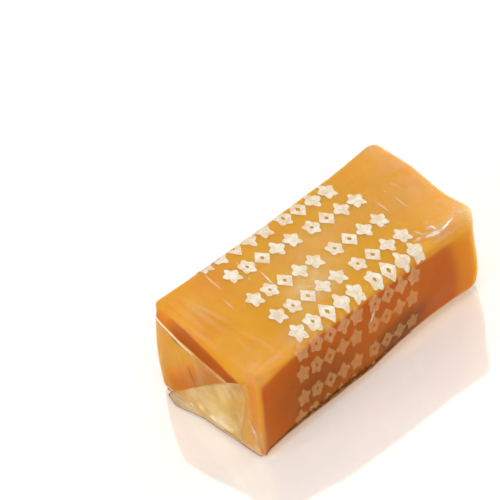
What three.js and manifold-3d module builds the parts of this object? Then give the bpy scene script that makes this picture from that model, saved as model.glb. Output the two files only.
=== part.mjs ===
// A soft caramel bar sealed in a clear film wrapper, lying on its flat underside.
// Millimetres, +Z up. The bar lies along X, and its folded wrapper ends face -X and +X.

import * as THREE from 'three';
import { mergeVertices } from 'three/addons/utils/BufferGeometryUtils.js';
import Module from 'manifold-3d';

const wasm = await Module();
wasm.setup();

// Driving dimensions of the wrapped bar.
const LENGTH = 32.6;
const WIDTH = 16.5;
const HEIGHT = 13;
const HALF = new THREE.Vector3(LENGTH / 2, WIDTH / 2, HEIGHT / 2);

// Rounding of the edges, which changes from place to place.
const TOP_RADIUS = 1.4;
const UNDER_RADIUS = 2.3; // long bottom edges
const FILM_RADIUS = 0.9; // where the film draws to a corner
const FILM_SHARPNESS = 6; // the higher, the closer to the ends the edges stay round

// The sides swell a little, and the -X end is not quite square to the bar.
const SIDE_SWELL = 0.15;
const END_LEAN = 0.75; // how far it leans out at its foot
const LEAN_START = 5; // how far from the end the lean begins

// Dents and drawn-out corners of the soft bar: where each is on the box, from -1 to 1 along
// each axis, how far it moves the surface, and how far round it is felt, in millimetres.
const PULLS = [
  // loose side of the -X end
  { at: [-1, 1, -0.1], by: [-0.45, 0.1, 0], reach: [4, 6, 5] },
  // foot corner at -X and -Y
  { at: [-1, -1, -1], by: [0.2, -0.4, 0], reach: [3.5, 3, 2.6] },
  // the four top corners, where the film is drawn up
  { at: [-1, 1, 1], by: [0, 0.1, 0.35], reach: [7, 4, 3] },
  { at: [-1, -1, 1], by: [-0.2, 0, 0.6], reach: [2.8, 2.8, 2.8] },
  { at: [1, 1, 1], by: [0.3, 0.1, 0.4], reach: [5, 4, 3] },
  { at: [1, -1, 1], by: [0.15, 0, 0.3], reach: [4, 3, 3] },
  // between them, the top edge of the +X end, and its two bulges
  { at: [1, 0, 1], by: [0.3, 0, 0.25], reach: [4, 5, 3] },
  { at: [1, 0.4, 1], by: [0.45, 0, 0], reach: [3, 3.2, 2.5] },
  { at: [1, -0.76, 1], by: [0.35, 0, 0], reach: [3, 1.8, 2.5] },
  // sag of the top -Y edge, and slump of the -X end's top edge
  { at: [-0.68, -1, 1], by: [0, 0.4, -0.8], reach: [3.8, 3, 3] },
  { at: [-1, -0.35, 1], by: [0.5, 0, -1.1], reach: [2.8, 4, 3] },
  // tuck of the bottom -Y edge, and a small bulge in it
  { at: [0.65, -1, -1], by: [0, 0.95, 0], reach: [11, 8, 5] },
  { at: [-0.06, -1, -1], by: [0, -0.25, 0], reach: [2.2, 3, 2] },
  // lower part of the corner at +X and -Y
  { at: [1, -1, -0.6], by: [0.42, -0.3, 0], reach: [3.5, 3.5, 4.5] },
];

// Folded film on the ends.
const LAYER = 0.25; // how far a fold stands off what it lies on
const EAR = 0.9; // the loose ear at the foot of the -X end
const FOLD_ROOT = 1.6; // how deep a fold's solid reaches into the bar

// Grid of the faces.
const ROUND_STEPS = 3; // steps over half of an edge's rounding
const FLAT_STEPS = { x: 22, y: 9, z: 6 };

const { clamp, lerp, smoothstep } = THREE.MathUtils;
const AXES = ['x', 'y', 'z'];

// Edge radius at a place on the box, whose coordinates run from -1 to 1.
function edgeRadius(u, v, w) {
  const filmCorner = smoothstep(-u, 0.5, 1) * Math.abs(u) ** FILM_SHARPNESS * v * v;
  const under = lerp(UNDER_RADIUS, FILM_RADIUS, filmCorner);
  const top = lerp(TOP_RADIUS, FILM_RADIUS, filmCorner);
  return lerp(under, top, smoothstep(w, -1, 0));
}

// Grid line to distance from the middle: even steps on the flat, even angles on the rounding.
function gridPlace(line, flatSteps, half, radius) {
  const lines = flatSteps + 2 * ROUND_STEPS;
  const fromEdge = Math.min(line, lines - line);
  if (fromEdge < ROUND_STEPS) {
    const angle = (Math.PI / 4) * (1 - fromEdge / ROUND_STEPS);
    const side = line * 2 < lines ? -1 : 1;
    return side * (half - radius + radius * Math.tan(angle));
  }
  return lerp(radius - half, half - radius, (line - ROUND_STEPS) / flatSteps);
}

// Moves a point of the rounded box to where the soft bar and its film lie.
function soften(p) {
  const across = p.y / HALF.y;
  const up = p.z / HALF.z;
  const hollow = 1 - up * up;
  const lean = END_LEAN * smoothstep(-p.x, HALF.x - LEAN_START, HALF.x);

  const move = new THREE.Vector3(-lean * (1 - up) / 2, across * SIDE_SWELL * hollow, 0);
  for (const pull of PULLS) {
    const far = AXES.reduce((sum, axis, i) => {
      return sum + ((p[axis] - pull.at[i] * HALF[axis]) / pull.reach[i]) ** 2;
    }, 0);
    move.addScaledVector(new THREE.Vector3(...pull.by), Math.exp(-far));
  }
  p.add(move);
}

// The bar in its film without the folds: a box whose edges are rounded by amounts that vary.
function barGeometry() {
  const lines = { x: 0, y: 0, z: 0 };
  for (const axis of AXES) {
    lines[axis] = FLAT_STEPS[axis] + 2 * ROUND_STEPS;
  }
  const geometry = new THREE.BoxGeometry(2, 2, 2, lines.x, lines.y, lines.z);
  const position = geometry.getAttribute('position');
  const p = new THREE.Vector3();
  const core = new THREE.Vector3();

  for (let i = 0; i < position.count; i += 1) {
    p.fromBufferAttribute(position, i);
    const radius = edgeRadius(p.x, p.y, p.z);
    for (const axis of AXES) {
      const line = Math.round(((p[axis] + 1) / 2) * lines[axis]);
      p[axis] = gridPlace(line, FLAT_STEPS[axis], HALF[axis], radius);
      core[axis] = clamp(p[axis], radius - HALF[axis], HALF[axis] - radius);
    }
    p.sub(core).setLength(radius).add(core);
    soften(p);
    position.setXYZ(i, p.x, p.y, p.z);
  }
  return geometry;
}

// One fold of film as a slab on an end: end is -1 for -X and 1 for +X. Each corner is its place
// across, as seen on the -X end (+Y), its height above the floor, and how far it stands off.
function foldGeometry(end, corners) {
  const outer = corners.map(([across, height, proud]) => {
    const corner = new THREE.Vector3(end * HALF.x, -end * across, height - HALF.z);
    soften(corner);
    corner.x += end * proud;
    return corner;
  });
  const root = end * (HALF.x - FOLD_ROOT);
  const inner = outer.map((corner) => new THREE.Vector3(root, corner.y, corner.z));
  const vertices = [...outer, ...inner].flatMap((corner) => corner.toArray());

  const count = corners.length;
  const faces = [];
  for (let i = 1; i < count - 1; i += 1) {
    faces.push(0, i, i + 1);
    faces.push(count, count + i + 1, count + i);
  }
  for (let i = 0; i < count; i += 1) {
    const next = (i + 1) % count;
    faces.push(i, count + i, next);
    faces.push(next, count + i, count + next);
  }

  const geometry = new THREE.BufferGeometry();
  geometry.setAttribute('position', new THREE.Float32BufferAttribute(vertices, 3));
  geometry.setIndex(faces);
  return geometry;
}

// The folds of one end, anticlockwise as seen from outside the -X end. The tucked flap lies
// underneath, and its top edge crosses the end. The flap over it starts at the foot on one side,
// and its edge climbs to the top on the other. Its foot stops short of that side by footGap.
function endFolds(end, ear, footGap) {
  const side = WIDTH / 2;
  const tucked = [
    [side - 0.5, 10.9, LAYER / 2],
    [side - 0.5, 5.0, LAYER],
    [side - 0.9, 0.7, LAYER],
    [3.4 - side, 0.7, LAYER / 2],
    [3.4 - side, 8.3, LAYER / 2],
    [0, 9.1, LAYER],
  ];
  const overlap = [
    [side - 0.9, 0.5, 1.2 * LAYER],
    [side - 3.6, 0.35, ear],
    [side - 6.8, 0.35, 2 * LAYER],
    [footGap - side, 0.35, LAYER / 4],
    [1.9 - side, 10.4, 1.5 * LAYER],
    [0, 5.8, 2 * LAYER],
  ];
  return [tucked, overlap].map((corners) => foldGeometry(end, corners));
}

function toSolid(geometry) {
  geometry.deleteAttribute('normal');
  geometry.deleteAttribute('uv');
  const merged = mergeVertices(geometry, 1e-4);
  return new wasm.Manifold(new wasm.Mesh({
    numProp: 3,
    vertProperties: new Float32Array(merged.getAttribute('position').array),
    triVerts: new Uint32Array(merged.getIndex().array),
  }));
}

function toGeometry(solid) {
  const mesh = solid.getMesh();
  const geometry = new THREE.BufferGeometry();
  geometry.setAttribute('position', new THREE.BufferAttribute(mesh.vertProperties, 3));
  geometry.setIndex(new THREE.BufferAttribute(mesh.triVerts, 1));
  return geometry;
}

function wrappedCaramel() {
  let solid = toSolid(barGeometry());
  for (const fold of [...endFolds(-1, EAR, 0.8), ...endFolds(1, LAYER, 1.8)]) {
    solid = solid.add(toSolid(fold));
  }

  const geometry = toGeometry(solid);
  geometry.computeBoundingBox();
  const { min, max } = geometry.boundingBox;
  geometry.translate(-(min.x + max.x) / 2, -(min.y + max.y) / 2, -min.z);
  geometry.computeVertexNormals();

  const material = new THREE.MeshStandardMaterial({ color: 0xdf9a45, roughness: 0.3, metalness: 0 });
  const mesh = new THREE.Mesh(geometry, material);
  mesh.name = 'wrapped_caramel';
  return mesh;
}

const candy = new THREE.Group();
candy.add(wrappedCaramel());

export default candy;
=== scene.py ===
import math
import random

import bpy
import numpy as np
from mathutils import Matrix, Vector, noise
from mathutils.bvhtree import BVHTree


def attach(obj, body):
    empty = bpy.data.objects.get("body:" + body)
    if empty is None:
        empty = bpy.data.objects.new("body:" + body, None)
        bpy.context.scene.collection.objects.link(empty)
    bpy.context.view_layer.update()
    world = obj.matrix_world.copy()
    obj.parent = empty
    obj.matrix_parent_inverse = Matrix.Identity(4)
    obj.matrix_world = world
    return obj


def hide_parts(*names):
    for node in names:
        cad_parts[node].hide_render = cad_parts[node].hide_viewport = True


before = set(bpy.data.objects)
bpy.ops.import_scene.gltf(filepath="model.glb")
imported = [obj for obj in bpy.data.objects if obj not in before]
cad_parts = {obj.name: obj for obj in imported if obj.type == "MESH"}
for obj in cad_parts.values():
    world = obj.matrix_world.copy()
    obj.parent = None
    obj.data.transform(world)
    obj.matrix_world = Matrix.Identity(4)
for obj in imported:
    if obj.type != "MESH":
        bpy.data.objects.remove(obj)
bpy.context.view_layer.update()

# ---------------------------------------------------------------------------
# A soft caramel bar in a clear printed film. Lengths are millimetres here, and
# metres once a mesh is made. "Bar coordinates" start at the middle of the bar:
# X along it, Y across it, Z up.
# ---------------------------------------------------------------------------

MM = 0.001
NODE = "wrapped_caramel"
BAR_AT = np.array([0.5536, 0.0145, 6.5])  # the bar's middle in the frame

# The bar with its film, as the solid has it.
LENGTH, WIDTH, HEIGHT = 32.6, 16.5, 13.0
HALF = np.array([LENGTH, WIDTH, HEIGHT]) / 2
TOP_RADIUS, UNDER_RADIUS, FILM_RADIUS = 1.4, 2.3, 0.9
FILM_SHARPNESS = 6
SIDE_SWELL = 0.15
END_LEAN, LEAN_START = 0.75, 5
# Its dents and drawn-out corners: at (-1 to 1 on the box), by (mm), reach (mm).
PULLS = [
    ((-1, 1, -0.1), (-0.45, 0.1, 0), (4, 6, 5)),
    ((-1, -1, -1), (0.2, -0.4, 0), (3.5, 3, 2.6)),
    ((-1, 1, 1), (0, 0.1, 0.35), (7, 4, 3)),
    ((-1, -1, 1), (-0.2, 0, 0.6), (2.8, 2.8, 2.8)),
    ((1, 1, 1), (0.3, 0.1, 0.4), (5, 4, 3)),
    ((1, -1, 1), (0.15, 0, 0.3), (4, 3, 3)),
    ((1, 0, 1), (0.3, 0, 0.25), (4, 5, 3)),
    ((1, 0.4, 1), (0.45, 0, 0), (3, 3.2, 2.5)),
    ((1, -0.76, 1), (0.35, 0, 0), (3, 1.8, 2.5)),
    ((-0.68, -1, 1), (0, 0.4, -0.8), (3.8, 3, 3)),
    ((-1, -0.35, 1), (0.5, 0, -1.1), (2.8, 4, 3)),
    ((0.65, -1, -1), (0, 0.95, 0), (11, 8, 5)),
    ((1, -1, -0.6), (0.42, -0.3, 0), (3.5, 3.5, 4.5)),
    ((-0.06, -1, -1), (0, -0.25, 0), (2.2, 3, 2)),
]
LAYER = 0.25  # how far a fold stands off what it lies on
EAR = 0.9  # the loose ear at the foot of the -X end

# Grid of a skin: steps over half of an edge's rounding and on the flats, times a fineness.
ROUND_STEPS = 3
FLAT_STEPS = np.array([22, 9, 6])
FILM_FINENESS = 6
CARAMEL_FINENESS = 5
FLOOR_CLEAR = 0.005  # the film's underside stays this far off the floor

# The caramel lies this far inside its film, and its edges are rounder.
CARAMEL_GAP = 0.04
CARAMEL_ROUNDER = 0.03


def lerp(a, b, t):
    return a + (b - a) * t


def smoothstep(x, low, high):
    t = np.clip((x - low) / (high - low), 0, 1)
    return t * t * (3 - 2 * t)


def bump(points, at, reach):
    """1 at a place, falling to 0 round it."""
    away = (points - np.array(at)) / np.array(reach)
    return np.exp(-np.sum(away * away, axis=1))


def bumps(points, table):
    """The sum of bumps, each given by its place, reach and amount."""
    return sum(amount * bump(points, at, reach) for at, reach, amount in table)


def waves(points, size, octaves=2, seed=0.0):
    """Smooth noise from -1 to 1 at each point. size is that of its largest lumps, in mm."""
    shift = Vector((seed, 1.7 * seed, -2.3 * seed))
    return np.array([
        noise.fractal(Vector(p) / size + shift, 1.0, 2.0, octaves) for p in points
    ])


# ---------------------------------------------------------------------------
# Shape of the bar
# ---------------------------------------------------------------------------


def edge_radius(place, rounder):
    u, v, w = place.T
    drawn = smoothstep(-u, 0.5, 1) * np.abs(u) ** FILM_SHARPNESS
    under = lerp(UNDER_RADIUS, FILM_RADIUS, drawn)
    top = lerp(TOP_RADIUS, FILM_RADIUS, drawn * v * v)
    return lerp(under, top, smoothstep(w, -1, 0)) + rounder


def grid_place(line, fineness, flat, half, radius):
    """Even steps on the flat, even angles on the rounding."""
    steps = ROUND_STEPS * fineness
    lines = flat + 2 * steps
    from_edge = np.minimum(line, lines - line)
    angle = (math.pi / 4) * (1 - from_edge / steps)
    side = np.where(line * 2 < lines, -1, 1)
    on_rounding = side * (half - radius + radius * np.tan(angle))
    on_flat = lerp(radius - half, half - radius, (line - steps) / flat)
    return np.where(from_edge < steps, on_rounding, on_flat)


def soften(p):
    """Moves points of the rounded box to where the soft bar and its film lie."""
    across = p[:, 1] / HALF[1]
    up = p[:, 2] / HALF[2]
    lean = END_LEAN * smoothstep(-p[:, 0], HALF[0] - LEAN_START, HALF[0])
    move = np.zeros_like(p)
    move[:, 0] = -lean * (1 - up) / 2
    move[:, 1] = across * SIDE_SWELL * (1 - up * up)
    for at, by, reach in PULLS:
        move += np.array(by) * bump(p, np.array(at) * HALF, reach)[:, None]
    return p + move


def box_lattice(lines):
    """The grid points on the faces of a box of so many lines a side, and its quads."""
    quads = []
    for axis in range(3):
        a, b = (axis + 1) % 3, (axis + 2) % 3
        i, j = np.meshgrid(np.arange(lines[a]), np.arange(lines[b]), indexing="ij")
        for side in (0, 1):
            ring = [(0, 0), (1, 0), (1, 1), (0, 1)]
            if side == 0:
                ring.reverse()
            quad = np.empty(i.shape + (4, 3), int)
            for corner, (di, dj) in enumerate(ring):
                quad[..., corner, axis] = side * lines[axis]
                quad[..., corner, a] = i + di
                quad[..., corner, b] = j + dj
            quads.append(quad.reshape(-1, 3))
    points, index = np.unique(np.concatenate(quads), axis=0, return_inverse=True)
    return points, index.reshape(-1, 4)


def bar_skin(fineness, inset=0.0, rounder=0.0):
    """A skin of the bar, in bar coordinates: its points and quads."""
    flat = FLAT_STEPS * fineness
    lines = flat + 2 * ROUND_STEPS * fineness
    lattice, quads = box_lattice(lines)
    half = HALF - inset
    radius = edge_radius(2 * lattice / lines - 1, rounder)

    p = np.empty(lattice.shape)
    core = np.empty(lattice.shape)
    for axis in range(3):
        place = grid_place(lattice[:, axis], fineness, flat[axis], half[axis], radius)
        p[:, axis] = place
        core[:, axis] = np.clip(place, radius - half[axis], half[axis] - radius)
    out = p - core
    p = core + out * (radius / np.linalg.norm(out, axis=1))[:, None]
    return soften(p), quads


def normals_of(points, quads):
    a, b, c, d = (points[quads[:, k]] for k in range(4))
    face = np.cross(c - a, d - b)
    total = np.zeros_like(points)
    for k in range(4):
        np.add.at(total, quads[:, k], face)
    return total / np.linalg.norm(total, axis=1)[:, None]


# ---------------------------------------------------------------------------
# Making pieces
# ---------------------------------------------------------------------------


def make_piece(name, points, faces, slot, material, **values):
    """A smooth mesh piece from points in bar coordinates, with a value per point by name."""
    mesh = bpy.data.meshes.new(name)
    mesh.from_pydata(((points + BAR_AT) * MM).tolist(), [], [list(map(int, f)) for f in faces])
    mesh.polygons.foreach_set("use_smooth", [True] * len(mesh.polygons))
    for value_name, value in values.items():
        layer = mesh.attributes.new(value_name, "FLOAT", "POINT")
        layer.data.foreach_set("value", np.asarray(value, dtype=np.float32))
    mesh.validate()
    mesh.update()
    mesh.materials.append(material)
    piece = bpy.data.objects.new(name, mesh)
    bpy.context.scene.collection.objects.link(piece)
    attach(piece, "root")
    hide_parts(NODE)
    return piece


# ---------------------------------------------------------------------------
# Materials
# ---------------------------------------------------------------------------


class Nodes:
    """A material's nodes, made with few words."""

    def __init__(self, name):
        self.material = bpy.data.materials.new(name)
        self.material.use_nodes = True
        self.tree = self.material.node_tree
        self.tree.nodes.clear()
        self.place = self.add("ShaderNodeTexCoord").outputs["Object"]

    def add(self, kind, **values):
        node = self.tree.nodes.new(kind)
        for key, value in values.items():
            setattr(node, key, value)
        return node

    def wire(self, value, socket):
        if isinstance(value, bpy.types.NodeSocket):
            self.tree.links.new(value, socket)
        elif value is not None:
            socket.default_value = value

    def maths(self, operation, a, b=None, c=None, clamp=False):
        node = self.add("ShaderNodeMath", operation=operation, use_clamp=clamp)
        for value, socket in zip((a, b, c), node.inputs):
            self.wire(value, socket)
        return node.outputs[0]

    def spread(self, value, low, high, to_low=0.0, to_high=1.0):
        """low..high of a value to to_low..to_high, smoothly."""
        node = self.add("ShaderNodeMapRange", interpolation_type="SMOOTHSTEP")
        for k, v in enumerate((value, low, high, to_low, to_high)):
            self.wire(v, node.inputs[k])
        return node.outputs[0]

    def noise(self, size, detail=3.0, roughness=0.5, stretch=(1, 1, 1), turn=(0, 0, 0), warp=0.0):
        """Noise from 0 to 1 whose lumps are about size mm."""
        mapping = self.add("ShaderNodeMapping")
        self.wire(self.place, mapping.inputs["Vector"])
        mapping.inputs["Scale"].default_value = stretch
        mapping.inputs["Rotation"].default_value = [math.radians(a) for a in turn]
        node = self.add("ShaderNodeTexNoise")
        self.wire(mapping.outputs[0], node.inputs["Vector"])
        node.inputs["Scale"].default_value = 1 / (size * MM)
        node.inputs["Detail"].default_value = detail
        node.inputs["Roughness"].default_value = roughness
        node.inputs["Distortion"].default_value = warp
        return node.outputs["Fac"]

    def value_of(self, name):
        return self.add("ShaderNodeAttribute", attribute_name=name).outputs["Fac"]

    def mix_colour(self, factor, a, b):
        node = self.add("ShaderNodeMix", data_type="RGBA")
        self.wire(factor, node.inputs["Factor"])
        self.wire(a, node.inputs[6])
        self.wire(b, node.inputs[7])
        return node.outputs[2]

    def relief(self, height, strength, distance):
        """A bump whose height runs from 0 to distance mm."""
        node = self.add("ShaderNodeBump")
        node.inputs["Strength"].default_value = strength
        node.inputs["Distance"].default_value = distance * MM
        self.wire(height, node.inputs["Height"])
        return node.outputs[0]

    def principled(self, **sockets):
        node = self.add("ShaderNodeBsdfPrincipled")
        for key, value in sockets.items():
            self.wire(value, node.inputs[key.replace("_", " ")])
        return node.outputs[0]

    def mix(self, factor, a, b):
        node = self.add("ShaderNodeMixShader")
        self.wire(factor, node.inputs[0])
        self.wire(a, node.inputs[1])
        self.wire(b, node.inputs[2])
        return node.outputs[0]

    def finish(self, shader):
        out = self.add("ShaderNodeOutputMaterial")
        self.wire(shader, out.inputs["Surface"])
        return self.material


CARAMEL_COLOUR = (0.82, 0.42, 0.02, 1)
CARAMEL_RICH = (0.78, 0.36, 0.01, 1)
CARAMEL_MILKY = (0.88, 0.52, 0.07, 1)
CARAMEL_PAINTED_GLOW = (0.93, 0.46, 0.03, 1)  # painted glow at its edges, standing in for light that passes through them
CARAMEL_PAINTED_LIGHT = (0.98, 0.62, 0.18, 1)  # painted light, at its palest corner, on top at +X and -Y
CARAMEL_AMBER = (0.79, 0.27, 0.008, 1)  # where the film begins to cling to it, and the first step of painted shade
# painted shade, where the front is darkest
CARAMEL_PAINTED_SHADE = (0.3, 0.065, 0.002, 1)
CARAMEL_FOOT_SHADE = (0.06, 0.012, 0.001, 1)  # painted contact shade along the foot
CARAMEL_CLING_AND_SHADE = (0.6, 0.13, 0.002, 1)  # where the film clings to it, and painted shade on the front, the back and the ends
SCATTER_RED_GREEN_BLUE = (1.0, 0.36, 0.12)
SCATTER_DEPTH = 3.5


def caramel_material():
    n = Nodes("caramel")
    cloud = n.spread(n.noise(7, detail=2, warp=0.6), 0.35, 0.7)
    streak = n.spread(n.noise(2.6, detail=4, stretch=(0.35, 1, 1)), 0.45, 0.75)
    colour = n.mix_colour(cloud, CARAMEL_RICH, CARAMEL_COLOUR)
    # From -2 to 3: painted light and glow, dry, clinging film with painted shade, and painted contact
    # shade.
    wet = n.value_of("wet")
    # Below 0: painted glow at the edges.
    colour = n.mix_colour(n.spread(wet, 0.0, -1.0), colour, CARAMEL_PAINTED_GLOW)
    # Down to -2: painted light at the palest corner.
    colour = n.mix_colour(n.spread(wet, -1.0, -2.0), colour, CARAMEL_PAINTED_LIGHT)
    colour = n.mix_colour(n.spread(wet, 0.0, 0.55), colour, CARAMEL_AMBER)
    colour = n.mix_colour(n.spread(wet, 0.45, 1.0), colour, CARAMEL_CLING_AND_SHADE)
    colour = n.mix_colour(n.spread(wet, 1.0, 2.0), colour, CARAMEL_PAINTED_SHADE)
    colour = n.mix_colour(n.spread(wet, 2.0, 3.0), colour, CARAMEL_FOOT_SHADE)
    milky = n.maths("MULTIPLY", streak, n.spread(wet, 0.0, 0.6, 0.3, 0.04))
    colour = n.mix_colour(milky, colour, CARAMEL_MILKY)
    bubbles = n.spread(n.noise(0.55, detail=1), 0.73, 0.8)
    colour = n.mix_colour(n.maths("MULTIPLY", bubbles, 0.35), colour, CARAMEL_MILKY)
    grain = n.noise(0.35, detail=4, roughness=0.6)
    height = n.maths("SUBTRACT", grain, n.maths("MULTIPLY", bubbles, 0.8))
    shader = n.principled(
        Base_Color=colour,
        Roughness=n.spread(grain, 0.3, 0.7, 0.38, 0.55),
        IOR=1.45,
        Specular_IOR_Level=0.12,
        Subsurface_Weight=1.0,
        Subsurface_Radius=SCATTER_RED_GREEN_BLUE,
        Subsurface_Scale=SCATTER_DEPTH * MM,
        Normal=n.relief(height, 0.35, 0.06),
    )
    return n.finish(shader)


# Haze by film: where it is thick, and where it is thin.
SLEEVE_HAZE = (1.0, 0.84, 0.52, 1), (1.0, 0.74, 0.28, 1)
# creases, whose cream is partly a painted highlight
CREASE_HAZE_AND_GLINT = (1.0, 0.88, 0.66, 1), (0.98, 0.8, 0.5, 1)
FOLD_HAZE = (0.97, 0.77, 0.44, 1), (0.95, 0.63, 0.18, 1)
# painted white glint on sharp folds and creases
FILM_GLINT_WHITE = (0.98, 0.95, 0.88, 1)
FILM_IOR = 1.4
FILM_SHADE_BROWN = (0.24, 0.06, 0.006, 1)  # painted shade: dark lines along the foot and under folds, where caramel shows along an edge of the film
CLINGING_GLOSS, LOOSE_GLOSS = 0.1, 0.25  # how much of a clean film's mirroring is left


def film_material(name, colours, haze_share, haze_size, evenness, crumple, grain):
    """Clear film. Its haze value is where it stands off the caramel: from 0 to 1 it turns milky,
    and above that, on a sharp fold, a painted white glint. Below 0 it is a brown of painted shade."""
    n = Nodes(name)
    haze = n.value_of("haze")
    cloud = n.spread(n.noise(haze_size, detail=5, roughness=0.6, warp=0.8), 0.3, 0.7)
    fine = n.noise(grain, detail=3, stretch=(1, 0.4, 1))
    mottle = n.maths("MULTIPLY_ADD", cloud, 0.7, n.maths("MULTIPLY", fine, 0.6))
    mottle = n.maths("MULTIPLY_ADD", mottle, 1 - evenness, 0.65 * evenness)
    share = n.maths("MULTIPLY", n.maths("MULTIPLY", haze, mottle), haze_share, clamp=True)
    # below 0: a brown of painted shade
    brown_shade = n.maths("MULTIPLY", haze, -1.0, clamp=True)
    wrinkle = n.noise(3.2 * grain, detail=3, stretch=(1, 0.45, 1), turn=(0, 0, 20), warp=0.5)
    normal = n.relief(wrinkle, crumple, 0.12)

    clear = n.add("ShaderNodeBsdfTransparent")
    clear.inputs["Color"].default_value = (0.99, 0.98, 0.955, 1)
    shine = n.add("ShaderNodeBsdfGlossy")
    n.wire(n.spread(fine, 0.3, 0.7, 0.07, 0.17), shine.inputs["Roughness"])
    n.wire(normal, shine.inputs["Normal"])
    fresnel = n.add("ShaderNodeFresnel")
    fresnel.inputs["IOR"].default_value = FILM_IOR
    n.wire(normal, fresnel.inputs["Normal"])
    left = n.spread(haze, 0, 1, CLINGING_GLOSS, LOOSE_GLOSS)
    gloss = n.maths("MULTIPLY", fresnel.outputs[0], left)
    skin = n.mix(gloss, clear.outputs[0], shine.outputs[0])
    thick = n.maths("MULTIPLY", cloud, n.spread(haze, 0.3, 1.0, 0.3, 1.0))
    colour = n.mix_colour(thick, colours[1], colours[0])
    # above 1.2: a painted white glint
    colour = n.mix_colour(n.spread(haze, 1.2, 2.0), colour, FILM_GLINT_WHITE)
    milky = n.principled(
        Base_Color=n.mix_colour(n.spread(brown_shade, 0.0, 0.2), colour, FILM_SHADE_BROWN),
        Roughness=n.spread(fine, 0.3, 0.7, 0.25, 0.45),
        Specular_IOR_Level=0.0,
        Normal=normal,
    )
    return n.finish(n.mix(n.maths("MAXIMUM", share, brown_shade), skin, milky))


PRINT_COLOUR = (0.98, 0.94, 0.8, 1)
PRINT_WORN = (0.95, 0.84, 0.6, 1)
PRINT_SUNK_IN_SHADE = (0.98, 0.57, 0.18, 1)  # where the film clings and swallows the ink's white, and painted shade on the front's rows


def print_material():
    n = Nodes("print")
    wear = n.spread(n.noise(0.9, detail=5, roughness=0.65), 0.32, 0.68)
    grain = n.noise(0.16, detail=3)
    cover = n.value_of("cover")
    worn = n.maths("MULTIPLY", n.spread(wear, 0.0, 1.0, 0.8, 1.0), n.spread(grain, 0.25, 0.6, 0.85, 1.0))
    ink = n.mix_colour(wear, PRINT_WORN, PRINT_COLOUR)
    # Low cover: ink under clinging film, and painted shade.
    ink = n.mix_colour(n.spread(cover, 0.35, 0.7), PRINT_SUNK_IN_SHADE, ink)
    shader = n.principled(
        Base_Color=ink,
        Roughness=n.spread(grain, 0.3, 0.7, 0.45, 0.65),
        Specular_IOR_Level=0.2,
        Alpha=n.maths("MULTIPLY", cover, worn),
        Normal=n.relief(grain, 0.3, 0.03),
    )
    return n.finish(shader)


FLOOR_COLOUR = (0.8, 0.77, 0.74, 1)
FLOOR_LIGHTER = (0.83, 0.8, 0.77, 1)
FLOOR_GLOW = 0.2  # a light table's
WARM_WHITE = (1.0, 0.985, 0.965)


def floor_material():
    n = Nodes("floor")
    tone = n.noise(60, detail=2)
    shader = n.principled(
        Base_Color=n.mix_colour(tone, FLOOR_COLOUR, FLOOR_LIGHTER),
        Roughness=n.spread(n.noise(20), 0.3, 0.7, 0.05, 0.07),
        IOR=2.4,
        Emission_Color=(*WARM_WHITE, 1),
        Emission_Strength=FLOOR_GLOW,
    )
    return n.finish(shader)


# ---------------------------------------------------------------------------
# The caramel and its film
# ---------------------------------------------------------------------------


# Under the -X end's top edge, down to the fold that crosses it, the film clings in a dark strip of
# painted shade.
# Its edges are given as heights from place to place across the end.
STRIP_Y = [-5.0, -2.9, -0.4, 1.1, 3.0, 5.8, 7.8]
STRIP_TOP_Z = [3.2, 3.5, 4.3, 4.9, 5.6, 6.1, 6.3]
STRIP_FOOT_Z = [1.3, 1.8, 2.2, 2.4, 2.8, 3.4, 4.0]
GROOVE = 0.12  # how deep it is pressed in there


def segment_distance(points, start, end):
    start, end = np.array(start, float), np.array(end, float)
    along = end - start
    t = np.clip((points - start) @ along / (along @ along), 0, 1)
    return np.linalg.norm(points - start - t[:, None] * along, axis=1), t


# Soft ridges in the film beside the -X end's top edge: two ends, height and half width.
RIDGES = [
    ((-16.1, 6.9, 6.1), (-15.8, -6.4, 5.2), 0.02, 0.5),
    ((-15.2, 7.4, 6.6), (-15.2, -6.8, 6.2), 0.06, 0.34),
    ((-14.3, 6.6, 6.6), (-13.7, -6.3, 6.1), 0.04, 0.3),
    ((-13.9, 5.4, 6.6), (-12.6, -1.0, 6.3), 0.05, 0.28),
    ((-12.9, -1.6, 6.5), (-12.0, -6.6, 6.0), 0.04, 0.27),
]

RIDGE_HAZE = 0.65

# Where the film stands off the caramel and whitens, and painted highlights at corners and edges: place,
# reach and amount.
HAZE_AND_HIGHLIGHTS = [
    ((-3.0, -3.2, 6.5), (3.2, 2.6, 2.0), 1.1),
    ((0.5, 1.2, 6.5), (5.5, 3.4, 2.0), 0.55),
    ((-8.8, -6.8, 6.3), (2.6, 1.6, 1.4), 0.6),
    ((12.5, 0.0, 6.7), (5.0, 8.0, 2.0), 0.35),
    ((16.0, 2.0, 6.8), (2.0, 7.0, 1.6), 0.55),
    ((16.0, -3.0, 6.8), (1.8, 3.0, 1.6), 0.35),
    ((14.5, -6.0, 6.5), (2.5, 2.5, 1.6), 0.4),
    ((11.5, -7.2, 6.5), (2.5, 0.8, 0.8), 0.35),
    ((6.0, -7.9, 5.9), (6.0, 0.9, 0.7), 0.4),
    ((15.8, -7.6, 6.6), (1.8, 1.8, 1.4), 0.6),
    ((16.1, -8.4, 4.4), (0.7, 0.9, 2.6), 0.8),
    ((15.9, 7.8, 6.8), (1.6, 1.4, 1.2), 0.9),
    ((-15.8, -7.5, 5.6), (1.1, 1.1, 1.5), 0.8),
    ((-16.4, -7.6, -1.0), (0.9, 1.0, 4.5), 0.45),
    ((-15.2, -4.5, 5.8), (2.0, 3.0, 1.2), 0.35),
    ((-16.9, -7.7, -4.8), (1.0, 0.8, 2.2), 1.1),
    ((-11.5, -7.9, 5.7), (4.5, 1.0, 0.8), 0.55),
    ((-16.3, 8.1, 5.8), (0.5, 0.6, 1.4), 0.6),
    ((-11.5, 4.0, 6.5), (4.0, 5.0, 2.0), 0.15),
]


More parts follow.
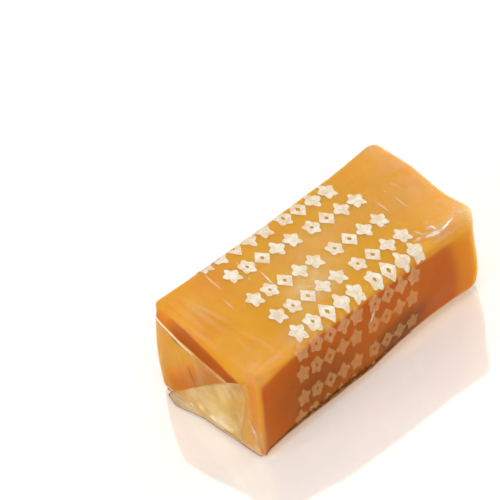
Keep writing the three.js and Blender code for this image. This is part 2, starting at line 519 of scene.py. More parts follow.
ALL_HAZE, TOP_SHEEN_HAZE, HAZE_PATCHES = 0.02, 0.16, 0.03  # everywhere, on top as a painted sheen, and its unevenness
SOFT_WAVE, FINE_WAVE = 0.05, 0.02  # how far the film wanders, over the bar and by itself
FINE_STRETCH = np.array([1.0, 0.35, 0.35])  # of its own waves, which are longer across the bar


def film_skin():
    """The film's points, quads and haze."""
    points, quads = bar_skin(FILM_FINENESS)
    normals = normals_of(points, quads)
    lift = film_waves(points) + FINE_WAVE * waves(points * FINE_STRETCH, 0.8, 2, seed=9.0)
    # More on top: a painted sheen.
    haze = ALL_HAZE + TOP_SHEEN_HAZE * smoothstep(normals[:, 2], 0.6, 1.0)
    haze += HAZE_PATCHES * waves(points, 2.0, 2, seed=2.0)
    for start, end, height, width in RIDGES:
        away, t = segment_distance(points, start, end)
        ridge = np.exp(-(away / width) ** 2) * np.sin(math.pi * np.clip(t, 0.03, 0.97)) ** 0.5
        lift += height * ridge
        haze += RIDGE_HAZE * ridge
    # Haze, with painted highlights.
    haze += bumps(points, HAZE_AND_HIGHLIGHTS)
    points = points + normals * lift[:, None]
    points[:, 2] = np.maximum(points[:, 2], FLOOR_CLEAR - HALF[2])
    return points, quads, np.clip(haze, 0, 1.2)


def film_waves(points):
    """The unevenness that the soft bar gives its film, and the groove under the -X top edge."""
    middle = np.interp(points[:, 1], STRIP_Y, (np.array(STRIP_TOP_Z) + STRIP_FOOT_Z) / 2)
    groove = smoothstep(-points[:, 0], 15.2, 15.8) * np.exp(-((points[:, 2] - middle) / 0.9) ** 2)
    return SOFT_WAVE * waves(points, 3.2, 3, seed=4.0) - GROOVE * groove


# The film clings to the front below this line, from place to place along the bar; the front is in
# painted shade there.
CLING_X = [-16.0, -13.0, -10.3, -8.5, -7.1, -4.0, 6.3, 16.3]
CLING_Z = [3.9, 4.3, 4.6, 5.1, 5.3, 5.3, 5.1, 4.4]


# Painted shade that makes the front darker, and spots of painted shade that make any side darker
# or, below 0, of painted light that make it paler: place, reach and amount.
FRONT_PAINTED_SHADE = [
    ((-8.5, -8.3, -1.5), (6.5, 2.0, 5.5), 0.65),
    ((4.0, -8.3, -3.0), (8.0, 2.0, 3.5), 0.325),
]
SHADE_AND_LIGHT_SPOTS = [
    ((-16.9, -8.4, -5.5), (1.2, 1.2, 1.6), 0.704),
    ((-9.0, 5.0, 6.5), (5.0, 5.0, 2.0), 0.25),
    # Below 0: painted light that makes the corner on top at +X and -Y paler.
    ((15.0, -5.5, 6.5), (4.0, 4.0, 2.0), -0.6),
    ((15.6, -7.8, 6.2), (2.2, 1.6, 1.8), -1.6),
]
END_PATCH = (-16.5, 5.6, -3.8), (-16.5, -1.4, 1.6)  # from and to, behind the tucked flap
END_PATCH_WIDTH = 1.9

# How dark each part gets, where the film clings and where shade is painted.
END_CLING_AND_SHADE, END_SIDE_DARKENING, FAR_END_CLING_AND_SHADE = 0.88, 0.44, 0.25
FOOT_SHADE, UNDER_SHADE, FAR_EDGE_DARKENING = 1.8, 0.3, 0.65
BACK_CLING_AND_SHADE, BACK_PATCHES = 0.8, 0.35  # the back's, and its unevenness
TONE_PATCHES = 0.12  # unevenness of the whole


def front_wetness(points, normals):
    """Painted shade on the front, where the film clings, up to the line where the film stands off, and
    fading towards the ends.
    """
    x, _, z = points.T
    wet = smoothstep(-normals[:, 1], 0.3, 0.9)
    wet *= smoothstep(np.interp(x, CLING_X, CLING_Z) - z, -0.6, 0.5)
    wet *= 1 - 0.5 * smoothstep(x, 11.0, 14.0) - 0.4 * smoothstep(x, 14.0, 16.2)
    wet *= 1 - 0.9 * smoothstep(-x + 0.07 * z, 15.6, 16.2)
    wet *= 1 - smoothstep(-normals[:, 2], 0.35, 0.5)
    return wet * (1 + bumps(points, FRONT_PAINTED_SHADE))


def strip_wetness(points):
    """The dark strip of painted shade under the -X end's top edge, where the film clings."""
    x, y, z = points.T
    wet = smoothstep(-x, 14.6, 15.2)
    wet *= smoothstep(np.interp(y, STRIP_Y, STRIP_TOP_Z) - z, -0.1, 0.5)
    wet *= smoothstep(z - np.interp(y, STRIP_Y, STRIP_FOOT_Z), -0.3, 0.4)
    return wet * smoothstep(y, -6.0, -5.0) * lerp(0.5, 1.35, smoothstep(-y, -6.7, -3.2))


def end_wetness(points, normals):
    """A long patch of the -X end, where the film clings, in painted shade, a darker band on its side
    next to the front, and the whole +X end, in painted shade.
    """
    on_end = smoothstep(-normals[:, 0], 0.5, 0.85)
    away, _ = segment_distance(points, *END_PATCH)
    wet = END_CLING_AND_SHADE * np.exp(-(away / END_PATCH_WIDTH) ** 2)
    wet += END_SIDE_DARKENING * smoothstep(-points[:, 1], 6.2, 7.2)
    return on_end * wet + FAR_END_CLING_AND_SHADE * smoothstep(normals[:, 0], 0.75, 0.97)


def foot_wetness(points, normals):
    """Painted shade on the underside, and a dark band of painted contact shade along the front's foot.
    """
    down = -normals[:, 2]
    foot = smoothstep(down, 0.05, 0.2) * (1 - smoothstep(down, 0.35, 0.5))
    foot *= smoothstep(-normals[:, 1], 0.5, 0.8) * (1 - smoothstep(points[:, 0], 3, 10))
    return UNDER_SHADE * smoothstep(down, 0.3, 0.9) + FOOT_SHADE * foot


def far_edge_wetness(points, normals):
    """A stretch of the top -Y edge near the +X end, made darker and more amber."""
    x, y, _ = points.T
    along = smoothstep(x, 10, 13) * (1 - smoothstep(x, 14.2, 15.6))
    return FAR_EDGE_DARKENING * along * smoothstep(-y, 6.8, 8.0) * smoothstep(normals[:, 2], 0.2, 0.5)


def painted_edge_glow(points, normals):
    """Painted glow along the long edges, least of all at the -X end, at the foot and near the +X end's
    corner.
    """
    x, y, _ = points.T
    out = np.abs(normals)
    glow = smoothstep(np.sort(out, axis=1)[:, 1], 0.25, 0.6) * smoothstep(out[:, 1], 0.2, 0.45)
    glow *= 1 - 0.6 * smoothstep(-normals[:, 0], 0.25, 0.6)
    glow *= 1 - 0.8 * smoothstep(-normals[:, 2], 0.15, 0.45) * smoothstep(out[:, 1], 0.5, 0.7)
    return glow * (1 - 0.8 * smoothstep(x, 11.0, 14.0) * smoothstep(-y, 5.0, 7.0))


def wetness(points, normals):
    """How the film and painted light change the colour: 0 where it is dry, 1 where it clings and
    where shade is painted, 2 in the darkest painted shade, 3 in painted contact shade along the foot,
    -1 at edges with a painted glow, and down to -2 at the palest corner, where light is painted."""
    wet = front_wetness(points, normals) + end_wetness(points, normals)
    wet += foot_wetness(points, normals) + far_edge_wetness(points, normals)
    # The back, where the film clings, in painted shade.
    back = smoothstep(normals[:, 1], 0.25, 0.95)
    wet += back * (BACK_CLING_AND_SHADE + BACK_PATCHES * waves(points, 4.0, 3, seed=12.0))
    wet += bumps(points, SHADE_AND_LIGHT_SPOTS) + TONE_PATCHES * waves(points, 5.0, 2, seed=6.0)
    wet -= painted_edge_glow(points, normals)
    strip = strip_wetness(points)
    wet = lerp(wet, np.maximum(wet, strip), smoothstep(strip, 0, 0.4))
    return np.clip(wet, -2, 3)


def make_caramel():
    points, quads = bar_skin(CARAMEL_FINENESS, CARAMEL_GAP, CARAMEL_ROUNDER)
    normals = normals_of(points, quads)
    # Where the film clings, with painted shade and painted glow.
    wet = wetness(points, normals)
    points = points + normals * film_waves(points)[:, None]
    return make_piece("caramel", points, quads, "caramel", caramel_material(), wet=wet)


film_points, film_quads, film_haze = film_skin()
film_tree = BVHTree.FromPolygons(film_points.tolist(), film_quads.tolist())


def on_film(origin, direction):
    """Where a ray meets the film, and the film's outward normal there."""
    place, normal, _, _ = film_tree.ray_cast(Vector(origin), Vector(direction))
    return place, normal


# ---------------------------------------------------------------------------
# Folded ends
# ---------------------------------------------------------------------------


def polyline(corners, count):
    """count places spread evenly along straight runs between corners."""
    corners = np.array(corners, float)
    steps = np.linalg.norm(np.diff(corners, axis=0), axis=1)
    run = np.concatenate([[0], np.cumsum(steps)]) / steps.sum()
    even = np.linspace(0, 1, count)
    return np.column_stack([np.interp(even, run, corners[:, k]) for k in range(corners.shape[1])])


FOLD_GRID = 0.2  # step of a flap's grid
FOLD_CLEAR = 0.03  # the least that a flap stands off the film under it
BRIDGE_HEIGHT = 2.6  # below it a flap hangs straight over the bar's rounded foot
RAY_START = 30
FOOT_SHADE_HAZE = -0.8  # of a flap's edge along the floor: a brown line of painted contact shade
FOOT_HEIGHT = 2.5  # below it, the side edges have that haze as well
RIM, RIM_INNER = 0.004, 0.012  # shares of a flap's depth where its first two narrow rows end
FLAP_WAVE, FLAP_RIPPLE = 0.05, 0.015  # how far a flap wanders


def sharp_end(end, across, height):
    """The place on the bar's end, with its edges taken as sharp."""
    return soften(np.array([[end * HALF[0], -end * across, height - HALF[2]]]))[0]


def film_at_end(end, y, z):
    """How far out along X the film is, at a place seen from an end, or None beside it."""
    place, _ = on_film((end * RAY_START, y, z), (-end, 0, 0))
    return place.x if place else None


def hanging_at_end(end, across, height):
    """How far out along X a flap lies that follows the film but bridges its foot."""
    x, y, z = sharp_end(end, across, height)
    high_x, high_y, high_z = sharp_end(end, across, max(height, BRIDGE_HEIGHT))
    film = film_at_end(end, high_y, high_z)
    return x + ((film - high_x) if film is not None else 0.0), y, z


def hill(x, middle, half_width):
    """1 at the middle, falling to 0 on both sides."""
    return math.exp(-((x - middle) / half_width) ** 2)


def flap(end, upper, lower, edge_rise, haze, edge_glint, seed):
    """A flap of film on an end, between an upper and a lower edge whose corners are (across,
    height, how far it stands off): a field of points, its faces, and its haze."""
    upper, lower = np.array(upper, float), np.array(lower, float)
    width = max(np.linalg.norm(np.diff(e[:, :2], axis=0), axis=1).sum() for e in (upper, lower))
    depth = np.abs(upper[:, 1].max() - lower[:, 1].min())
    columns = int(width / FOLD_GRID) + 2
    rows = int(depth / FOLD_GRID) + 2
    top, bottom = polyline(upper, columns), polyline(lower, columns)

    inner_rows = np.linspace(RIM_INNER, 1 - RIM_INNER, rows)
    down = np.concatenate([[0, RIM], inner_rows, [1 - RIM, 1]])
    field = top[None] + (bottom - top)[None] * down[:, None, None]
    count = len(down)
    points = np.empty((count, columns, 3))
    haze_field = np.empty((count, columns))
    for i in range(count):
        for j in range(columns):
            across, height, proud = field[i, j]
            x, y, z = hanging_at_end(end, across, height)
            film_x = film_at_end(end, y, z)
            if film_x is None:
                film_x = x - end * UNDER_RADIUS / 2
            spot = Vector((across, height, seed))
            if min(i, count - 1 - i, j, columns - 1 - j) == 0:
                stand = FOLD_CLEAR
            else:
                rise = edge_rise if i == 1 else 0.0
                rise += FLAP_WAVE * noise.noise(spot * 0.5) + FLAP_RIPPLE * noise.noise(spot * 2.0)
                stand = max(end * (x - film_x) + proud + rise, 2 * FOLD_CLEAR)
            points[i, j] = (film_x + end * stand, y, z)
            # A painted white glint along the upper fold edge.
            near_edge = hill(i, 1, 1.0) if i < 6 else 0.0
            near_edge *= lerp(*edge_glint, float(smoothstep(across, 0.5, 3.5)))
            soft = 0.5 + 0.5 * noise.noise(spot * 0.45 + Vector((3, 1, 7)))
            at_side = hill(j, 1, 1.0) if height < FOOT_HEIGHT else 0.0
            # Painted contact shade along the foot and the low side edges.
            at_foot = max(hill(count - 1 - i, 1.5, 1.2), at_side)
            haze_field[i, j] = lerp(haze(across, height, soft) + near_edge, FOOT_SHADE_HAZE, at_foot)
    number = np.arange(count * columns).reshape(count, columns)
    faces = np.stack([number[:-1, :-1], number[1:, :-1], number[1:, 1:], number[:-1, 1:]], axis=-1)
    return points.reshape(-1, 3), faces.reshape(-1, 4), haze_field.ravel()


def tucked_haze(across, height, soft):
    """Hazy beside the loose side and at its foot, clinging low down, streaked where its layers
    overlap."""
    side = hill(across, 7.4, 1.2)
    wet = hill(across, 5.0, 2.6) * hill(height, 2.8, 2.2)
    past_fold = 3.3 - across - 0.4 * (8.4 - height)
    streaks = 0.12 * hill(past_fold, -1.0, 0.3) + 0.2 * hill(past_fold, 1.7, 0.5)
    layers = float(smoothstep(past_fold, -0.1, 0.2))
    haze = 0.15 + 0.08 * soft + 0.38 * side - 0.25 * wet + (0.02 + 0.08 * soft) * layers
    corner = float(smoothstep(across, 5.6, 7.2) * smoothstep(-height, -3.0, -1.0))
    return max(haze + streaks, 0.0) + 0.25 * corner


# On the overlapping flap: two soft folds by their places across at heights, and glints at its
# foot by place, reach and haze.
OVERLAP_FOLDS_AT = [1.7, 3.4, 5.6, 8.4, 10.4]
OVERLAP_FOLD_1 = [-4.9, -4.5, -4.0, -3.9, -3.7]
OVERLAP_FOLD_2 = [-4.7, -5.3, -5.9, -6.3, -5.7]
OVERLAP_GLINTS = [
    ((-1.2, 4.0), (2.4, 2.6), 0.2),
    ((1.1, 2.0), (0.55, 0.65), 0.6),
    ((-0.6, 1.5), (0.5, 0.4), 0.6),
    ((-2.6, 1.5), (1.6, 0.6), 0.4),
    ((-7.3, 1.2), (0.7, 0.9), 0.5),
    ((-2.2, 2.8), (1.8, 1.5), 0.32),
    ((-3.0, 6.3), (1.0, 1.4), 0.35),
]


def overlap_haze(across, height, soft):
    """Haziest before its folds, clearer towards its tip, with glints at its foot."""
    fold_1 = np.interp(height, OVERLAP_FOLDS_AT, OVERLAP_FOLD_1)
    fold_2 = np.interp(height, OVERLAP_FOLDS_AT, OVERLAP_FOLD_2)
    before_1 = float(smoothstep(across - fold_1, -0.4, 0.4))
    before_2 = float(smoothstep(across - fold_2, -0.3, 0.3))
    before_tip = float(smoothstep(across, 1.5, 5.2))
    haze = 0.45 + 0.3 * before_2 + 0.2 * before_1 - 0.42 * before_tip
    haze *= 0.9 + 0.2 * soft
    for at, reach, amount in OVERLAP_GLINTS:
        haze += amount * hill(across, at[0], reach[0]) * hill(height, at[1], reach[1])
    return haze


def join(parts):
    """Fields of points, faces and values as one."""
    points, faces, values = [], [], []
    count = 0
    for part_points, part_faces, part_values in parts:
        points.append(part_points)
        faces.append(part_faces + count)
        values.append(part_values)
        count += len(part_points)
    return np.concatenate(points), np.concatenate(faces), np.concatenate(values)


NEAR_FOOT_GAP, FAR_FOOT_GAP = 0.6, 1.8  # from the overlapping flap's foot to the bar's side


def end_folds(end, ear, foot_gap):
    """Both flaps of an end, whose corners are (across, height, how far it stands off)."""
    side = WIDTH / 2
    tucked = flap(
        end,
        [(side - 0.5, 10.9, 0.1), (3.1, 9.75, 0.2), (0, 9.2, 0.25), (3.4 - side, 8.35, 0.2)],
        [(side - 1.25, 0.6, 0.15), (3.4 - side, 0.7, 0.15)],
        edge_rise=0.12, haze=tucked_haze, edge_glint=(0.7, 1.9), seed=3.0 * end,
    )
    overlap = flap(
        end,
        [(side - 1.75, 0.4, 0.5), (4.1, 2.5, 0.4), (2.0, 4.3, 0.45), (-1.3, 7.1, 0.4),
         (-3.3, 8.6, 0.35), (-4.9, 9.7, 0.3), (1.5 - side, 11.0, 0.2)],
        [(side - 1.75, 0.3, 0.5), (side - 3.6, 0.2, ear), (side - 5.8, 0.2, 0.4 * ear + 0.1),
         (side - 7.2, 0.2, 0.2), (foot_gap - side, 0.3, 0.05)],
        edge_rise=0.05, haze=overlap_haze, edge_glint=(0.2, 0.2), seed=5.0 * end,
    )
    return join([tucked, overlap])


# ---------------------------------------------------------------------------
# Print: rows of small shapes round the film
# ---------------------------------------------------------------------------

PATH_RADIUS = 3.0  # of the section path that the rows are laid out along
PATH_START = 9.0  # how far outside the path a ray towards the film starts
PRINT_LIFT = 0.03


def section_path(t):
    """The place (y, z) and outward direction on the round of the bar's section, t mm along it
    from where the top leaves its -Y edge, towards +Y."""
    flat_y, flat_z = WIDTH - 2 * PATH_RADIUS, HEIGHT - 2 * PATH_RADIUS
    arc = math.pi / 2 * PATH_RADIUS
    t %= 2 * (flat_y + flat_z) + 4 * arc
    y, z, heading = -flat_y / 2, HALF[2] - PATH_RADIUS, 90.0
    for flat in (flat_y, flat_z, flat_y, flat_z):
        out = Vector((math.cos(math.radians(heading)), math.sin(math.radians(heading))))
        way = Vector((out.y, -out.x))
        if t <= flat:
            return Vector((y, z)) + way * t + out * PATH_RADIUS, out
        t -= flat
        y, z = Vector((y, z)) + way * flat
        if t <= arc:
            turn = math.radians(heading) - t / PATH_RADIUS
            out = Vector((math.cos(turn), math.sin(turn)))
            return Vector((y, z)) + out * PATH_RADIUS, out
        t -= arc
        heading -= 90.0
    return Vector((y, z)), out


def wrap(x, t, lift=PRINT_LIFT):
    """The place on the film at x along the bar and t round its section, or just off it."""
    place, out = section_path(t)
    origin = (x, *(place + out * PATH_START))
    hit, normal = on_film(origin, (0, -out.x, -out.y))
    return hit + normal * lift


# Outlines of the marks: how far out each is at an angle, where 1 is half its width.
def diamond(angle):
    return 1.1 / (abs(math.cos(angle)) + abs(math.sin(angle)))


def star(angle):
    turn = (angle - math.pi / 2) % (2 * math.pi / 5)
    near = min(turn, 2 * math.pi / 5 - turn)
    return lerp(1.14, 0.7, near / (math.pi / 5))


def flower(angle):
    return 0.92 + 0.13 * math.cos(5 * angle)


def clover(angle):
    return 0.87 + 0.2 * math.cos(4 * angle)


# Each mark's outline, and how much of it the hole in its middle takes.
MOTIFS = {
    "diamond": (diamond, 0.26),
    "star": (star, 0.02),
    "flower": (flower, 0.2),
    "clover": (clover, 0.02),
}
ROW = ["star", "flower", "diamond", "clover", "star", "flower", "diamond", "clover", "star"]
WORD = 5  # a gap follows the fifth mark of a row
WORD_GAP = 0.35  # in marks
MARK_WIDTH, MARK_HEIGHT = 1.78, 2.35
MARK_ANGLES, MARK_RINGS = 60, 4

# Rows that show, from the top's far edge over the near edge and down the front: the middle of
# each one's first and last mark, along the bar and round the section, and how well it covers,
# lower on the front where it is also painted shade.
ROWS = [
    ((-9.2, 12.9), (7.6, 11.3), 0.9),
    ((-8.0, 9.7), (8.8, 8.0), 0.95),
    ((-8.7, 5.3), (8.4, 3.9), 0.95),
    ((-8.6, 1.7), (8.5, 0.3), 0.9),
    ((-8.6, -1.5), (8.0, -2.2), 1.0),
    ((-9.5, -3.6), (6.7, -4.4), 0.45),
    ((-10.0, -6.4), (6.1, -7.3), 0.4),
    ((-10.4, -9.8), (6.0, -11.2), 0.38),
    ((-11.1, -12.6), (5.5, -14.2), 0.38),
]
# The rows that follow them, under the bar and up its back.
HIDDEN_ROWS = 7
HIDDEN_COVER = 0.45
ROW_PITCH = 3.6


def row_marks(first, last):
    """Name, place and slope of each mark in a row."""
    (x0, t0), (x1, t1) = first, last
    for k, name in enumerate(ROW):
        share = (k + (WORD_GAP if k >= WORD else 0)) / (len(ROW) - 1 + WORD_GAP)
        yield name, lerp(x0, x1, share), lerp(t0, t1, share), (t1 - t0) / (x1 - x0)


def mark(shape, hole, x, t, width, height, slope):
    """One printed shape as a fine patch that lies on the film."""
    points, faces = [], []
    for ring in range(MARK_RINGS + 1):
        reach = lerp(hole, 1.0, ring / MARK_RINGS)
        for k in range(MARK_ANGLES):
            angle = 2 * math.pi * k / MARK_ANGLES
            r = reach * shape(angle)
            dx = r * math.cos(angle) * width / 2
            dt = r * math.sin(angle) * height / 2
            points.append(wrap(x + dx, t + dt + slope * dx))
    for ring in range(MARK_RINGS):
        for k in range(MARK_ANGLES):
            a = ring * MARK_ANGLES + k
            b = ring * MARK_ANGLES + (k + 1) % MARK_ANGLES
            faces.append((a, a + MARK_ANGLES, b + MARK_ANGLES, b))
    return points, faces


def make_print():
    (x0, t0), (x1, t1), _ = ROWS[-1]
    down = [ROW_PITCH * (k + 1) for k in range(HIDDEN_ROWS)]
    hidden = [((x0, t0 - d), (x1, t1 - d), HIDDEN_COVER) for d in down]
    points, faces, covers = [], [], []
    for first, last, cover in ROWS + hidden:
        for name, x, t, slope in row_marks(first, last):
            shape, hole = MOTIFS[name]
            more_points, more_faces = mark(shape, hole, x, t, MARK_WIDTH, MARK_HEIGHT, slope)
            faces += [tuple(i + len(points) for i in face) for face in more_faces]
            points += more_points
            covers += [cover] * len(more_points)
    return make_piece("print", np.array(points), faces, "print", print_material(), cover=covers)


# ---------------------------------------------------------------------------
# Creases: fine ridges of film, their white partly a painted highlight
# ---------------------------------------------------------------------------

CREASE_STEP = 0.12
CREASE_HEIGHT = 0.06  # in half widths

# On the sleeve: places (x, t), half width and haze. The last is the brown line of painted contact shade
# along the foot.
SLEEVE_CREASES = [
    ([(-9.85, 12.4), (-10.1, 10.8), (-10.2, 8.8)], 0.13, 1.0),
    ([(-11.0, 8.0), (-11.1, 6.9), (-11.25, 5.5)], 0.12, 0.9),
    ([(-5.45, 8.2), (-5.7, 6.5), (-6.1, 4.5)], 0.14, 1.5),
    ([(-6.35, 10.9), (-6.55, 9.7)], 0.12, 1.2),
    ([(-7.0, 8.4), (-7.15, 7.65)], 0.1, 1.1),
    ([(13.1, 7.25), (13.15, 6.2), (13.25, 5.0)], 0.12, 0.8),
    ([(11.9, 5.4), (11.85, 3.85), (11.75, 2.5)], 0.12, 0.9),
    ([(10.0, 6.5), (10.05, 5.1), (9.95, 3.55)], 0.12, 0.9),
    ([(11.7, 6.55), (11.85, 6.4)], 0.14, 1.2),
    ([(8.3, 3.3), (8.15, 2.5)], 0.11, 1.0),
    ([(9.7, -0.1), (9.95, -0.8), (10.1, -1.5)], 0.16, 1.1),
    ([(9.8, -1.65), (11.0, -1.83), (12.3, -2.05)], 0.28, 1.9),
    ([(11.0, -1.0), (11.5, -1.1), (11.6, -1.9)], 0.24, 1.7),
    ([(11.2, -2.1), (12.6, -1.9), (14.2, -1.68)], 0.18, 2.0),
    # a painted glint on the front's print
    ([(-0.2, -6.5), (0.1, -6.0), (0.6, -5.2), (0.9, -4.7)], 0.3, 1.5),
    ([(10.9, -0.2), (11.9, -0.5)], 0.2, 0.6),
    ([(14.4, -1.6), (15.2, -1.7), (16.0, -2.0)], 0.3, 0.8),
    ([(14.6, -0.9), (15.5, -0.9)], 0.3, 0.8),
    ([(9.9, -2.5), (13.1, -2.6), (15.2, -2.6)], 0.3, 0.6),
    ([(-14.6, -2.1), (-13.2, -2.2), (-11.4, -2.5)], 0.4, 0.4),
    # a brown line of painted contact shade along the foot
    ([(-15.6, -13.25), (-9.0, -13.2), (-2.0, -13.25), (6.0, -13.3)], 1.0, -0.95),
]

# On the -X end: places (y, height above the floor), half width and haze, which is below 0 for
# dark lines of painted shade where caramel shows, and high for painted glints.
END_CREASES = [
    ([(2.7, 1.75), (2.26, 1.38)], 0.12, 2.6),
    ([(2.9, 7.6), (2.2, 5.9), (1.6, 4.4)], 0.3, -0.25),
    ([(5.6, 9.95), (3.4, 9.4)], 0.12, -0.6),
    ([(7.7, 12.5), (7.95, 11.7), (7.9, 10.9)], 0.13, 1.8),
    ([(2.5, 9.0), (0.5, 8.7), (-1.6, 8.35)], 0.3, 0.25),
    ([(1.9, 8.7), (0.9, 8.1), (-0.25, 7.3)], 0.35, 0.2),
    ([(-5.75, 8.8), (-6.3, 7.75), (-5.8, 5.25), (-4.6, 1.7)], 0.2, 0.6),
    ([(-6.35, 6.0), (-7.3, 4.2), (-7.8, 2.1)], 0.25, 0.8),
]

# Crinkles beside the top -Y edge, where the film is drawn tight over the +X end's corner, whose white is
# a painted glint.
CRINKLES = 8
CRINKLE_X = (8.6, 13.0)
CRINKLE_T = (-2.4, -0.2)
CRINKLE_TURN = (10, 60)  # degrees, either way
CRINKLE_LENGTH = (0.7, 1.3)
CRINKLE_HALF_WIDTH = (0.2, 0.36)
CRINKLE_GLINT = (0.4, 0.9)


def end_layer(folds):
    """Lays places (y, height) on the outermost film of the -X end."""
    points, faces, _ = join([(film_points, film_quads, film_haze), folds])
    tree = BVHTree.FromPolygons(points.tolist(), faces.tolist())

    def lay(y, height, lift):
        start = Vector((-RAY_START, y, height - HALF[2]))
        hit, _, _, _ = tree.ray_cast(start, Vector((1, 0, 0)))
        return hit - Vector((lift, 0, 0))

    return lay


def crease(lay, places, half_width, haze, turned=False):
    """A ridge of film that runs through places and fades out at its ends. It is turned where
    outwards is away from the side that its places would have it face."""
    length = np.linalg.norm(np.diff(np.array(places), axis=0), axis=1).sum()
    line = polyline(places, max(int(length / CREASE_STEP), 6) + 1)
    along = np.gradient(line, axis=0)
    along /= np.linalg.norm(along, axis=1)[:, None]
    points, values = [], []
    for k, ((a, b), (da, db)) in enumerate(zip(line, along)):
        fade = math.sin(math.pi * lerp(0.04, 0.96, k / (len(line) - 1))) ** 0.6
        for side in (-1, -0.4, 0.4, 1):
            ragged = 1 + 0.6 * noise.noise(Vector((2.5 * a, 2.5 * b, side)))
            shift = side * half_width * fade * ragged
            inner = abs(side) < 1
            lift = PRINT_LIFT / 2 + (CREASE_HEIGHT * half_width * fade if inner else 0.0)
            points.append(lay(a - db * shift, b + da * shift, lift))
            values.append(haze * fade if inner else 0.0)
    first = 4 * np.arange(len(line) - 1)[:, None] + np.arange(3)
    faces = np.stack([first, first + 4, first + 5, first + 1], axis=-1).reshape(-1, 4)
    return np.array(points), faces[:, ::-1] if turned else faces, np.array(values)


def crinkles():
    """Short creases at random along the top -Y edge."""
    chance = random.Random(11)
    for _ in range(CRINKLES):
        x, t = chance.uniform(*CRINKLE_X), chance.uniform(*CRINKLE_T)
        turn = math.radians(chance.choice((-1, 1)) * chance.uniform(*CRINKLE_TURN))
        length = chance.uniform(*CRINKLE_LENGTH)
        end = (x + length * math.cos(turn), t + length * math.sin(turn))
        half_width = chance.uniform(*CRINKLE_HALF_WIDTH)
        yield [(x, t), end], half_width, chance.uniform(*CRINKLE_GLINT)


def make_creases(folds):
    on_end = end_layer(folds)
    parts = [crease(wrap, *values) for values in [*SLEEVE_CREASES, *crinkles()]]
    parts += [crease(on_end, *values, turned=True) for values in END_CREASES]
    points, faces, haze = join(parts)
    material = film_material(
        "creases", CREASE_HAZE_AND_GLINT,
        haze_share=0.7, haze_size=2.4, evenness=0.5, crumple=0.1, grain=0.5,
    )
    make_piece("creases", points, faces, "film", material, haze=haze)


def make_film():
    material = film_material(
        "film", SLEEVE_HAZE,
        haze_share=0.44, haze_size=2.4, evenness=0.65, crumple=0.25, grain=0.5,
    )
    make_piece("film", film_points, film_quads, "film", material, haze=film_haze)


def make_end_folds(near_folds):
    points, faces, haze = join([near_folds, end_folds(1, LAYER, FAR_FOOT_GAP)])
    material = film_material(
        "end_folds", FOLD_HAZE,
        haze_share=0.95, haze_size=5.0, evenness=0.75, crumple=0.03, grain=1.6,
    )
    make_piece("end_folds", points, faces, "film", material, haze=np.clip(haze, -1, 2.6))


make_caramel()
make_film()
near_folds = end_folds(-1, EAR, NEAR_FOOT_GAP)
make_end_folds(near_folds)
make_print()
make_creases(near_folds)


# ---------------------------------------------------------------------------
# Floor, light and camera
# ---------------------------------------------------------------------------

FLOOR_SIZE = 3000
VIEW_AZIMUTH, VIEW_ELEVATION, VIEW_ROLL = -35.7, 45.5, -9.2
VIEW_TARGET = Vector((0.434, -0.186, 6.48))
VIEW_DISTANCE = 600
VIEW_ASIDE, VIEW_BELOW = 7.73, 5.32  # how far the camera slides to put the candy low on the right
LENS = 395.6

WORLD_STRENGTH = 0.36
LIGHT_DISTANCE = 420
KEY_COLOUR, FILL_COLOUR = (1.0, 0.985, 0.96), (1.0, 0.97, 0.93)
LIGHTS = [
    # name, azimuth, elevation, width, height, power, colour
    ("key", -30, 72, 300, 260, 0.62, KEY_COLOUR),
    ("sheen", 144, 45, 420, 260, 0.4, KEY_COLOUR),
    ("end_fill", -95, 30, 260, 200, 0.56, FILL_COLOUR),
    ("right_fill", 78, 11, 260, 120, 0.9, FILL_COLOUR),
]


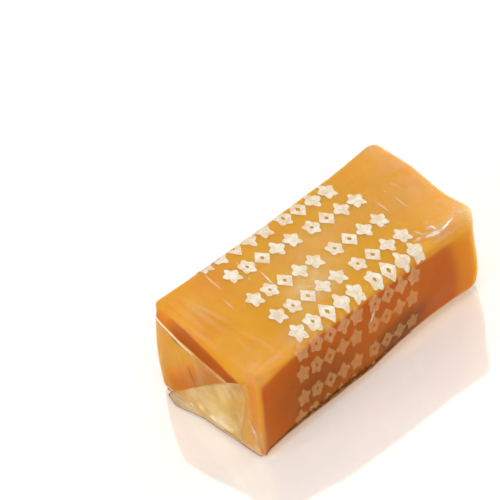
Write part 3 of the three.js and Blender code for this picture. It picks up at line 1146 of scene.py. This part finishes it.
def make_floor():
    mesh = bpy.data.meshes.new("floor")
    half = FLOOR_SIZE / 2 * MM
    corners = [(-half, -half, 0), (half, -half, 0), (half, half, 0), (-half, half, 0)]
    mesh.from_pydata(corners, [], [(0, 1, 2, 3)])
    mesh.materials.append(floor_material())
    floor = bpy.data.objects.new("floor", mesh)
    bpy.context.scene.collection.objects.link(floor)


def direction(azimuth, elevation):
    """Towards a place seen from the object: azimuth 0 is -Y, and -90 is -X."""
    a, e = math.radians(azimuth), math.radians(elevation)
    return Vector((math.sin(a) * math.cos(e), -math.cos(a) * math.cos(e), math.sin(e)))


def make_light(name, azimuth, elevation, width, height, power, colour):
    light = bpy.data.lights.new(name, "AREA")
    light.shape = "RECTANGLE"
    light.size, light.size_y = width * MM, height * MM
    light.energy = power
    light.color = colour
    lamp = bpy.data.objects.new(name, light)
    lamp.location = direction(azimuth, elevation) * LIGHT_DISTANCE * MM
    lamp.rotation_mode = "QUATERNION"
    lamp.rotation_quaternion = direction(azimuth, elevation).to_track_quat("Z", "Y")
    lamp.visible_camera = False
    bpy.context.scene.collection.objects.link(lamp)


def make_world(strength):
    world = bpy.data.worlds.new("studio")
    world.use_nodes = True
    background = world.node_tree.nodes["Background"]
    background.inputs["Color"].default_value = (*WARM_WHITE, 1)
    background.inputs["Strength"].default_value = strength
    bpy.context.scene.world = world


def make_camera():
    back = direction(VIEW_AZIMUTH, VIEW_ELEVATION)
    right = (-back).cross(Vector((0, 0, 1))).normalized()
    up = right.cross(-back)
    roll = math.radians(VIEW_ROLL)
    right, up = (
        math.cos(roll) * right + math.sin(roll) * up,
        -math.sin(roll) * right + math.cos(roll) * up,
    )
    place = VIEW_TARGET + back * VIEW_DISTANCE - right * VIEW_ASIDE + up * VIEW_BELOW
    data = bpy.data.cameras.new("camera")
    data.sensor_width = 36
    data.lens = LENS
    data.clip_start, data.clip_end = 0.01, 10
    camera = bpy.data.objects.new("camera", data)
    turn = Matrix((right, up, back)).transposed().to_4x4()
    camera.matrix_world = Matrix.Translation(place * MM) @ turn
    bpy.context.scene.collection.objects.link(camera)
    bpy.context.scene.camera = camera


make_floor()
make_world(WORLD_STRENGTH)
for light in LIGHTS:
    make_light(*light)
make_camera()

scene = bpy.context.scene
scene.view_settings.view_transform = "Standard"
scene.cycles.transparent_max_bounces = 24
